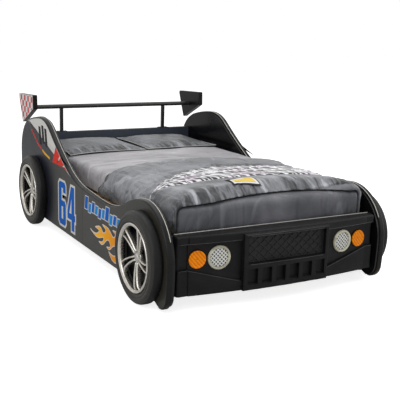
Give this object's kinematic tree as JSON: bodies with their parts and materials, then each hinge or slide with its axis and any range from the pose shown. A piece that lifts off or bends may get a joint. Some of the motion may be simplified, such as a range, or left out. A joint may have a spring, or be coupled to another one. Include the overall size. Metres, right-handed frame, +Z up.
{
  "type": "car bed for children",
  "caption": "Child's single bed shaped like a sports car, with moulded wheels and bumper, a spoiler on the headboard, a slatted base, mattress, duvet and pillows.",
  "frame": {"origin": "on the floor, in the middle of the bed's overall length and width", "axes": "+Z up, +Y from the bumper towards the headboard, +X to the right of somebody who stands at the bumper and looks along +Y"},
  "size_m": [1.352, 2.232, 0.7986],
  "materials": {
    "panel_lacquer": "dark satin lacquer on board",
    "board_lacquer": "glossy black lacquer on board",
    "headboard_lacquer": "dark slate satin lacquer on board",
    "spoiler_plate_lacquer": "glossy lacquer, chequered",
    "spoiler_paint": "satin paint",
    "lamp_bezel_plastic": "pale satin moulding",
    "lamp_lens_plastic": "ribbed white lens",
    "amber_plastic": "ribbed amber lens in a pale ring",
    "slat_wood": "planed, unfinished",
    "tyre_plastic": "satin moulding",
    "rim_plastic": "bright silver moulding",
    "hub_cap_plastic": "bright silver moulding",
    "bumper_plastic": "fine textured moulding",
    "grille_plastic": "textured moulding",
    "hardware_steel": "zinc-plated",
    "mattress_fabric": "dark satin cover",
    "duvet_fabric": "grey cotton satin with a printed band",
    "top_sheet_fabric": "light grey cotton",
    "pillow_fabric": "grey cotton satin"
  },
  "bodies": {
    "bed": {"bracket_screws": "hardware_steel", "bumper_screws": "hardware_steel", "bumper_shell": "bumper_plastic", "corner_brackets": "hardware_steel", "front_cross_board": "headboard_lacquer", "grille_lattice": "grille_plastic", "headboard": "headboard_lacquer", "left_amber_lamp": "amber_plastic", "left_front_hub_cap": "hub_cap_plastic", "left_front_rim": "rim_plastic", "left_front_side_panel": "panel_lacquer", "left_front_tyre": "tyre_plastic", "left_inner_side_board": "board_lacquer", "left_rear_hub_cap": "hub_cap_plastic", "left_rear_rim": "rim_plastic", "left_rear_side_panel": "panel_lacquer", "left_rear_tyre": "tyre_plastic", "left_round_lamp_bezel": "lamp_bezel_plastic", "left_round_lamp_lens": "lamp_lens_plastic", "left_side_rail": "slat_wood", "left_spoiler_plate": "spoiler_plate_lacquer", "left_spoiler_post": "spoiler_paint", "rail_screws": "hardware_steel", "right_amber_lamp": "amber_plastic", "right_front_hub_cap": "hub_cap_plastic", "right_front_rim": "rim_plastic", "right_front_side_panel": "panel_lacquer", "right_front_tyre": "tyre_plastic", "right_inner_side_board": "board_lacquer", "right_rear_hub_cap": "hub_cap_plastic", "right_rear_rim": "rim_plastic", "right_rear_side_panel": "panel_lacquer", "right_rear_tyre": "tyre_plastic", "right_round_lamp_bezel": "lamp_bezel_plastic", "right_round_lamp_lens": "lamp_lens_plastic", "right_side_rail": "slat_wood", "right_spoiler_plate": "spoiler_plate_lacquer", "right_spoiler_post": "spoiler_paint", "slat_01": "slat_wood", "slat_02": "slat_wood", "slat_03": "slat_wood", "slat_04": "slat_wood", "slat_05": "slat_wood", "slat_06": "slat_wood", "slat_07": "slat_wood", "slat_08": "slat_wood", "slat_09": "slat_wood", "slat_10": "slat_wood", "slat_11": "slat_wood", "slat_12": "slat_wood", "slat_13": "slat_wood", "slat_screws": "hardware_steel", "spoiler_bar": "spoiler_paint", "spoiler_screws": "hardware_steel", "wheel_bolts": "hardware_steel"},
    "mattress": {"mattress": "mattress_fabric"},
    "duvet": {"duvet": "duvet_fabric", "top_sheet": "top_sheet_fabric"},
    "left_pillow": {"left_pillow": "pillow_fabric"},
    "right_pillow": {"right_pillow": "pillow_fabric"}
  },
  "joints": [
    {"name": "mattress_lift", "type": "slide", "parent": "bed", "child": "mattress", "axis": [0, 0, 1], "range_m": [0, 0.35]},
    {"name": "duvet_lift", "type": "slide", "parent": "mattress", "child": "duvet", "axis": [0, 0, 1], "range_m": [0, 0.3]},
    {"name": "left_pillow_lift", "type": "slide", "parent": "mattress", "child": "left_pillow", "axis": [0, 0, 1], "range_m": [0, 0.3]},
    {"name": "right_pillow_lift", "type": "slide", "parent": "mattress", "child": "right_pillow", "axis": [0, 0, 1], "range_m": [0, 0.3]}
  ]
}
